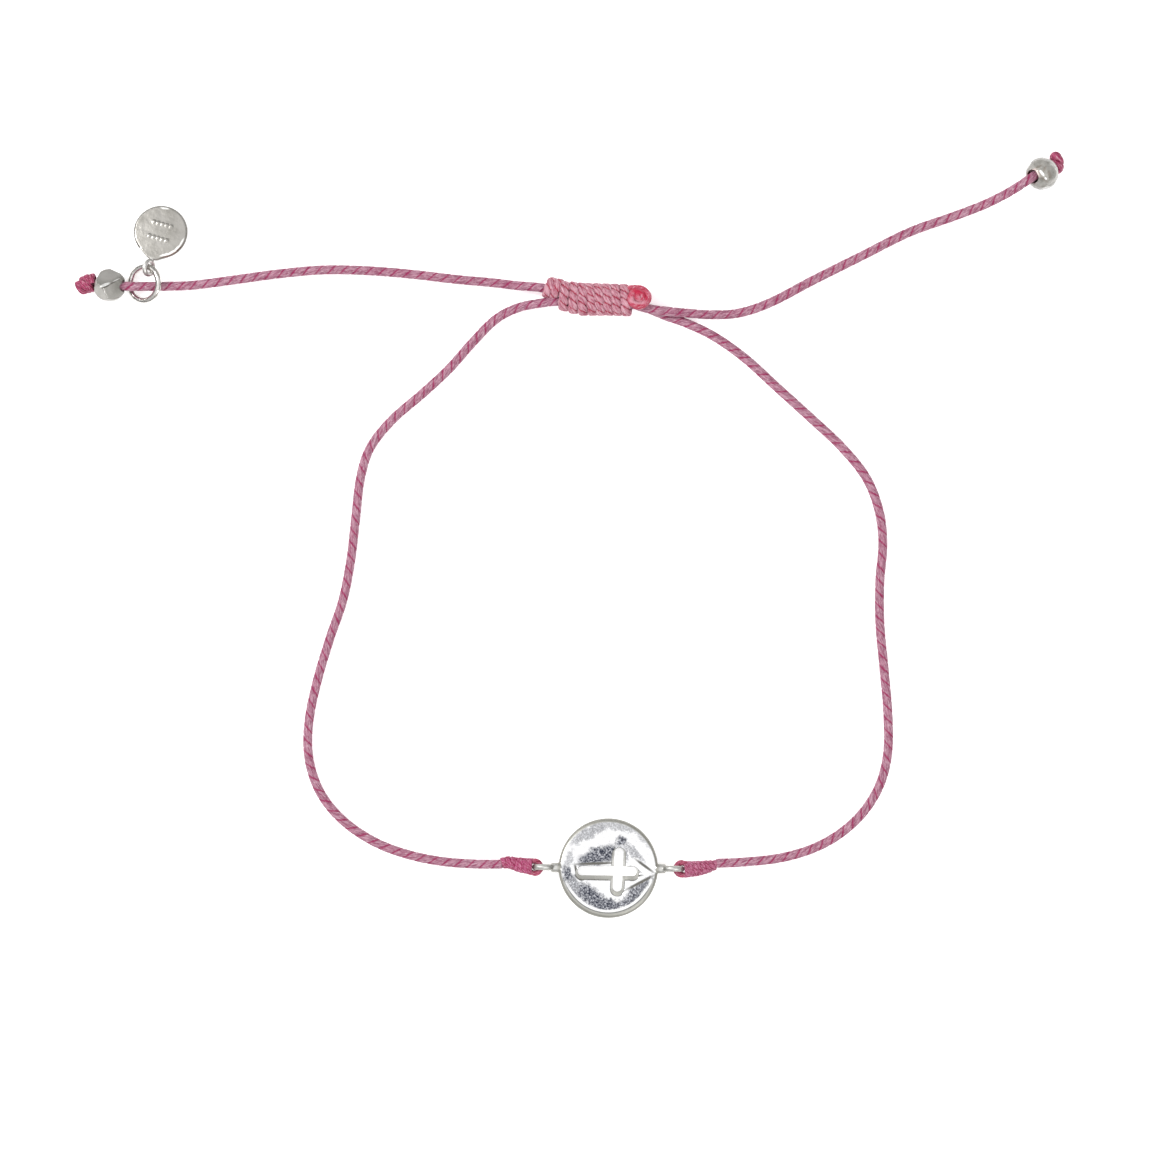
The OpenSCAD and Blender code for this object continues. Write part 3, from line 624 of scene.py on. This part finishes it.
# painted reflection on the rolled rim: a grey band all round, wider at the top and bottom, and inside it,
# below, a thin dark line and a bright hollow
across = t.node("ShaderNodeSeparateXYZ", {0: place}).outputs
far = t.node("ShaderNodeVectorMath", {0: t.vector("MULTIPLY", place, (1, 1, 0))}, operation="LENGTH")
far = far.outputs["Value"]
tall = t.math("DIVIDE", t.math("ABSOLUTE", across["Y"]), disc_radius)
low = t.ramp(across["Y"], -0.5, -2.5)
band = t.math("ADD", t.math("SUBTRACT", far, rim_at), t.math("MULTIPLY", tall, rim_swell_ends))
band = t.math("ADD", band, t.math("MULTIPLY", low, rim_swell_low))
rim = t.ramp(band, -0.05, 0.06)
face = t.mix(t.math("MULTIPLY", rim, t.ramp(far, disc_radius, 5.2, 0.9, 0.6)), face, painted_rim_shade)
# painted highlight in the bright hollow, and painted shade in the thin dark line, below
painted_hollow_mask = t.ramp(t.math("ABSOLUTE", t.math("ADD", band, hollow_in)), 0.1, 0.18, 1.0, 0.0)
face = t.mix(t.math("MULTIPLY", painted_hollow_mask, t.math("MULTIPLY", low, 0.9)), face, painted_hollow_highlight)
painted_rim_line_mask = t.ramp(t.math("ABSOLUTE", t.math("ADD", band, rim_line_in)), 0.03, 0.09, 1.0, 0.0)
face = t.mix(t.math("MULTIPLY", painted_rim_line_mask, t.math("MULTIPLY", low, 0.85)), face, painted_rim_line_shade)
# painted shade on the walls of the cross and the eyes, weaker out on the eyes
side = t.ramp(t.node("ShaderNodeAttribute", attribute_name="side").outputs["Fac"], 0.15, 0.5)
face = t.mix(t.math("MULTIPLY", side, t.ramp(far, disc_radius, 5.3, 0.9, 0.55)), face, painted_wall_shade)
t.link(face, shader["Base Color"])
rubbed = t.math("ADD", t.math("MULTIPLY", dark, 0.1), t.math("MULTIPLY", rim, 0.38))
t.link(t.math("ADD", 0.12, rubbed), shader["Roughness"])
t.link(t.bump(speckle, distance=0.002), shader["Normal"])
shader["Metallic"].default_value = 1.0
disc = softened("disc", "disc_casting", voxel=0.06, rounds=5, dent=0.004, dent_size=1.1)
disc.data.materials.append(polished)
stands_for(disc, "disc")

# Ties.
# At each eye the cord's end is doubled back through the eye, and the two runs are bound
# together with fine dark pink thread.
eye_wire_at = {"left": (-7.5, -27.17, 1.15), "right": (7.3, -27.33, 1.15)}
bight_reach = 0.6
bight_cord = 0.58
# the bight's legs pass a place mouth_in inside the binding, mouth_half to each side of its axis, and
# end leg_length inside it, leg_half to each side
mouth_in, mouth_half = 0.2, 0.52
leg_length, leg_half = 1.2, 0.3
# the binding: how far the ends inside it stick out towards the eye, its thread, its height as a
# share of its width, its axis from the eye to the cord, and rows of share of the way and reach
core_out = 0.1
thread = 0.42
binding_flat = 0.95
binding_axis = {
    "left": [(-7.95, -27.07, 1.14), (-8.65, -27.0, 1.06), (-9.4, -26.87, 0.96), (-10.1, -26.7, 0.87),
             (-10.8, -26.78, 0.82)],
    "right": [(7.75, -27.38, 1.14), (8.5, -27.34, 1.06), (9.25, -27.26, 0.97), (10.0, -27.12, 0.88),
              (10.75, -26.9, 0.82)]}
binding_reach = {
    "left": table([(0, 0.62), (0.3, 0.59), (0.6, 0.47), (0.85, 0.42), (1, 0.34)]),
    "right": table([(0, 0.64), (0.3, 0.6), (0.65, 0.49), (0.85, 0.38), (1, 0.22)])}
tie_finish = {
    "left": yarn("tie_thread_left", light=(0.52, 0.105, 0.24), mid=(0.27, 0.012, 0.07),
                 dark=(0.2, 0.004, 0.032), groove_shade_width=0.3),
    "right": yarn("tie_thread_right", light=(0.53, 0.165, 0.285), mid=(0.27, 0.018, 0.08),
                  dark=(0.2, 0.006, 0.038), groove_shade_width=0.3)}
bight_finish = yarn("tie_bight", light=(0.46, 0.10, 0.18), mid=(0.36, 0.035, 0.09), dark=(0.25, 0.01, 0.04))
for side, away in (("left", -1), ("right", 1)):
    wire = Vector(eye_wire_at[side])
    axis = binding_axis[side]
    start, end = Vector(axis[0]), Vector(axis[-1])
    ahead = (end - start).normalized()
    leg = start + leg_length * ahead
    bend = [wire + bight_reach * Vector((-away * math.cos(a), math.sin(a), 0))
            for a in (math.radians(d) for d in range(-90, 91, 15))]
    loop = [leg - Vector((0, leg_half, 0)), start + Vector((mouth_in * away, -mouth_half, 0)), *bend,
            start + Vector((mouth_in * away, mouth_half, 0)), leg + Vector((0, leg_half, 0))]
    bight = laid_cord("bight_" + side, through(loop, steps=4), diameter=bight_cord, lay=1.5,
                      finish=bight_finish, step=0.06, sides=20)
    core = laid_cord("bound_ends_" + side, through([start - core_out * ahead, *axis[1:]]), diameter=0.8,
                     lay=2.0, finish=tie_finish[side], sides=18)
    reach = binding_reach[side]
    turns = (end - start).length / thread
    line = wound(axis, turns, radii=lambda s: (reach(s)[0], reach(s)[0] * binding_flat), first=40)
    binding = laid_cord("binding_" + side, line, diameter=thread, lay=0.95, finish=tie_finish[side],
                        groove=0.06, step=0.05, sides=18)
    pressed(binding, axis, power=5.0, wide=1.3, inner=0.8, outer=0.9)
    for piece in (bight, core, binding):
        stands_for(piece, "tie_" + side)

# Beads.
# A cast silver bead closes each free end: a small nugget with broad flat facets, left satin.
# The cord runs through its hole, and a knot behind the bead holds it.
bead_silver = silver("satin_silver", bright=(0.50, 0.485, 0.45), dull=(0.22, 0.21, 0.185), patch=1.7,
                     grain=5.5, smooth=0.45, rough=0.7, bump=0.01, edge=(0.16, 0.15, 0.13),
                     edge_share=0.4, gloss=1.0, metal=0.6)
bead_left = softened("bead_left", "faceted_bead_left", voxel=0.04, rounds=2, dent=0.005, dent_size=0.9)
bead_right = softened("bead_right", "faceted_bead_right", voxel=0.05, rounds=6, dent=0.02, dent_size=1.3)
facet_silver = silver("facet_silver", bright=(0.42, 0.405, 0.375), dull=(0.31, 0.30, 0.27), patch=0.8,
                      grain=6.5, smooth=0.3, rough=0.5, bump=0.008, edge=(0.16, 0.15, 0.13),
                      edge_share=0.35, gloss=1.0, metal=0.7)
bead_left_middle, bead_right_middle = (-50.2, 31.5), (43.3, 42.45)
# painted light on the left bead: a lighter upper facet, painted shade on the right facet, dark painted
# shade lines by the ridge, and white painted glints on it
touched(facet_silver, bead_left_middle, [
    ((0.62, 0.60, 0.57), 0.5, [(0.1, 0.9, 1.3, 0.6, 12, 0.6)]),
    ((0.16, 0.155, 0.135), 0.6, [(0.85, -0.1, 0.45, 0.8, -20, 0.55)]),
    ((0.05, 0.04, 0.03), 0.5, [(-0.28, -0.36, 0.45, 0.09, 25, 0.9), (0.35, 0.0, 0.4, 0.06, 30, 0.7)]),
    ((1.0, 1.0, 0.97), 0.4, [(-0.33, -0.18, 0.5, 0.14, 25, 1.0), (0.75, 0.35, 0.35, 0.06, 30, 0.7)])])
# painted light on the right bead: red-brown painted shade and reflection of the cord in its mouth, a pink
# painted reflection on the mouth's lip, a brown painted shade band beside it, darker brown strokes, and
# white painted glints
touched(bead_silver, bead_right_middle, [
    ((0.16, 0.03, 0.02), 0.3, [(-1.0, -0.25, 0.48, 0.55, 25, 0.95)]),
    ((0.85, 0.66, 0.62), 0.5, [(-0.47, 0.02, 0.45, 0.06, -62, 0.9), (-0.85, 0.42, 0.3, 0.05, 10, 0.7)]),
    ((0.22, 0.15, 0.11), 0.6, [(-0.32, 0.1, 0.45, 0.06, -60, 0.6)]),
    ((0.2, 0.15, 0.11), 0.6, [(0.25, 0.45, 0.3, 0.12, 60, 0.5), (0.75, -0.1, 0.2, 0.4, 20, 0.45),
                              (0.2, -0.55, 0.5, 0.12, -35, 0.4), (-0.3, 0.7, 0.35, 0.1, 25, 0.5)]),
    ((1.0, 1.0, 1.0), 0.35, [(-0.02, 0.02, 0.34, 0.12, -52, 1.0), (0.36, -0.52, 0.14, 0.08, -45, 0.95),
                             (-1.42, -0.4, 0.2, 0.08, -70, 0.8)])])
for piece, node, finish in ((bead_left, "bead_left", facet_silver),
                            (bead_right, "bead_right", bead_silver)):
    piece.data.materials.append(finish)
    stands_for(piece, node)

# End knots.
# Behind each bead the cord's end is whipped into a hard knot, in the dark pink of the ties. It
# keeps the bead on the cord.
whipping = 0.5
end_finish = yarn("end_knot_cord", light=(0.48, 0.085, 0.185), mid=(0.25, 0.006, 0.055),
                  dark=(0.13, 0.003, 0.025), groove_shade_width=0.22)
# the left one: a stack of turns round the cord's end, with rows of share of the way and reach
stack_axis = [(-51.86, 31.68, 1.42), (-52.3, 31.62, 1.36), (-52.75, 31.45, 1.27), (-53.3, 31.22, 1.15)]
stack_reach = table([(0, 0.68), (0.3, 0.70), (0.7, 0.67), (0.9, 0.6), (1, 0.42)])
stack_line = wound(stack_axis, turns=3.3, radii=lambda s: (stack_reach(s)[0],) * 2, first=80)
end_left = laid_cord("whipped_end_left", stack_line, diameter=whipping, lay=2.6, finish=end_finish,
                     groove=0.05, step=0.05, sides=20)
pressed(end_left, stack_axis, power=3.0, wide=1.25, inner=0.9)
stack_core = through([*stack_axis[:2], (-53.5, 31.25, 1.14)])
end_left_core = laid_cord("whipped_core_left", stack_core, diameter=0.95, lay=2.4, finish=end_finish,
                          sides=18)
# the right one: an egg that shows the twist of its cord, thick in the middle and round at both
# ends, with egg_half as half its length
egg_middle = Vector((45.08, 43.8, 0.72))
egg_turn = math.radians(8)
egg_half = 1.15
egg_roundness = 2.2
egg_blunt = 0.004
egg_flat = 0.93
egg_steps = 24
egg_way = Vector((-math.sin(egg_turn), math.cos(egg_turn), 0))
egg_line = [(egg_middle + k / egg_steps * egg_half * egg_way) * MM
            for k in range(-egg_steps, egg_steps + 1)]
end_right = laid_cord("whipped_end_right", egg_line, diameter=1.5, lay=1.7, finish=end_finish, groove=0.16,
                      narrowing=2.2, step=0.04, sides=40)
for vertex, centre in zip(end_right.data.vertices, end_right.data.attributes["line"].data):
    share = (centre.vector / MM - egg_middle).dot(egg_way) / egg_half
    away = vertex.co - centre.vector
    away = away * math.sqrt(max(1 - abs(share) ** egg_roundness, egg_blunt))
    away.z *= egg_flat
    vertex.co = centre.vector + away
for piece, node in ((end_left, "end_knot_left"), (end_left_core, "end_knot_left"),
                    (end_right, "end_knot_right")):
    stands_for(piece, node)

# Jump ring.
# A ring of round silver wire, closed round the left free end. It slides on the cord and
# carries the tag.
ring = softened("jump_ring", "wire_ring", voxel=0.05, rounds=2, dent=0.01, dent_size=0.8)
ring_silver = silver("rubbed_silver", bright=(0.78, 0.76, 0.73), dull=(0.40, 0.38, 0.34), patch=1.6,
                     grain=5.0, smooth=0.14, rough=0.3, bump=0.005)
ring.data.materials.append(ring_silver)
stands_for(ring, "jump_ring")

# Tag.
# A small silver coin drawn out to a tip, with an eye on the tip that links through the jump
# ring. Its mark is a plain one: two rows of studs.
tag = softened("tag", "tag_coin", voxel=0.04, rounds=10, dent=0.008, dent_size=1.0)
tag_silver = silver("tag_silver", bright=(0.42, 0.405, 0.375), dull=(0.27, 0.26, 0.235), patch=0.8,
                    grain=7.0, smooth=0.32, rough=0.46, gloss=0.1, bump=0.008,
                    edge=(0.10, 0.085, 0.065), edge_share=0.9)
tag_middle = (-45.2, 36.8)
# painted light on the tag: a lighter patch on its eye, white painted highlights along the lower-right bevel
# and at the top, dark painted shade lines along the left edge, and brownish painted shade lines just
# outside the bevel's highlights
touched(tag_silver, tag_middle, [
    ((0.75, 0.74, 0.71), 0.4, [(-1.15, -3.6, 0.85, 0.9, 0, 0.85)]),
    ((0.95, 0.95, 0.92), 0.4, [(0.55, -2.34, 0.55, 0.11, 13, 1.0), (1.2, -2.08, 0.5, 0.11, 30, 1.0),
                               (1.72, -1.67, 0.5, 0.1, 45, 1.0), (2.15, -1.1, 0.5, 0.09, 62, 0.9),
                               (0.4, 2.42, 0.45, 0.1, -9, 0.8)]),
    ((0.07, 0.065, 0.055), 0.4, [(-2.62, 0.35, 0.9, 0.13, 84, 0.9), (-2.35, -1.25, 0.9, 0.13, 118, 0.9),
                                 (-1.95, 1.9, 0.8, 0.1, 45, 0.6)]),
    ((0.13, 0.05, 0.035), 0.5, [(0.62, -2.5, 0.55, 0.06, 13, 0.8), (1.3, -2.22, 0.5, 0.06, 30, 0.8),
                                (1.85, -1.78, 0.5, 0.06, 45, 0.7)])])
tag.data.materials.append(tag_silver)
stands_for(tag, "tag")

# Floor and light.
# A white sheet lit from behind, soft light from all round that is strongest overhead, and two
# small soft boxes for the glints on the silver.
floor_half = 0.6
floor_drop = 0.02
corners = [(x * floor_half, y * floor_half, 0) for x, y in ((-1, -1), (1, -1), (1, 1), (-1, 1))]
floor_mesh = bpy.data.meshes.new("floor")
floor_mesh.from_pydata(corners, [], [(0, 1, 2, 3)])
floor = bpy.data.objects.new("floor", floor_mesh)
bpy.context.scene.collection.objects.link(floor)
paper, t, shader = new_finish("white_paper")
for name, value in (("Base Color", (0.93, 0.93, 0.93, 1)), ("Roughness", 0.9),
                    ("Emission Color", (1, 1, 1, 1)), ("Emission Strength", 0.5)):
    shader[name].default_value = value
floor_mesh.materials.append(paper)
floor.location = (0, 0, -floor_drop * MM)

world = bpy.data.worlds.new("studio")
bpy.context.scene.world = world
world.use_nodes = True
t = Tree(world.node_tree)
way = t.node("ShaderNodeTexCoord").outputs["Generated"]
up = t.node("ShaderNodeSeparateXYZ", {0: way}).outputs
sky = t.node("ShaderNodeValToRGB", {0: up["Z"]})
# brightness at each height, from level to overhead
stops = [(0.0, 0.05), (0.2, 0.18), (0.5, 0.66), (0.75, 0.88), (0.86, 1.2)]
while len(sky.color_ramp.elements) < len(stops):
    sky.color_ramp.elements.new(1.0)
for stop, (at, level) in zip(sky.color_ramp.elements, stops):
    stop.position = at
    stop.color = (level, level, level * 1.01, 1)
# the room is a little darker on the far side
far_side = t.ramp(up["Y"], -0.3, 0.9, 1.0, 0.8)
t.link(sky.outputs[0], t.tree.nodes["Background"].inputs["Color"])
t.link(far_side, t.tree.nodes["Background"].inputs["Strength"])


def soft_light(name, place, size, power):
    """A square soft box at place, in millimetres, that looks at the middle of the bracelet."""
    data = bpy.data.lights.new(name, "AREA")
    data.size = size * MM
    data.energy = power
    lamp = bpy.data.objects.new(name, data)
    lamp.location = Vector(place) * MM
    lamp.rotation_euler = (-Vector(place)).to_track_quat("-Z", "Y").to_euler()
    bpy.context.scene.collection.objects.link(lamp)


soft_light("soft_box_left", (-350, 200, 420), size=90, power=1.7)
soft_light("soft_box_right", (260, -330, 430), size=70, power=0.8)
bpy.context.scene.view_settings.view_transform = "Standard"
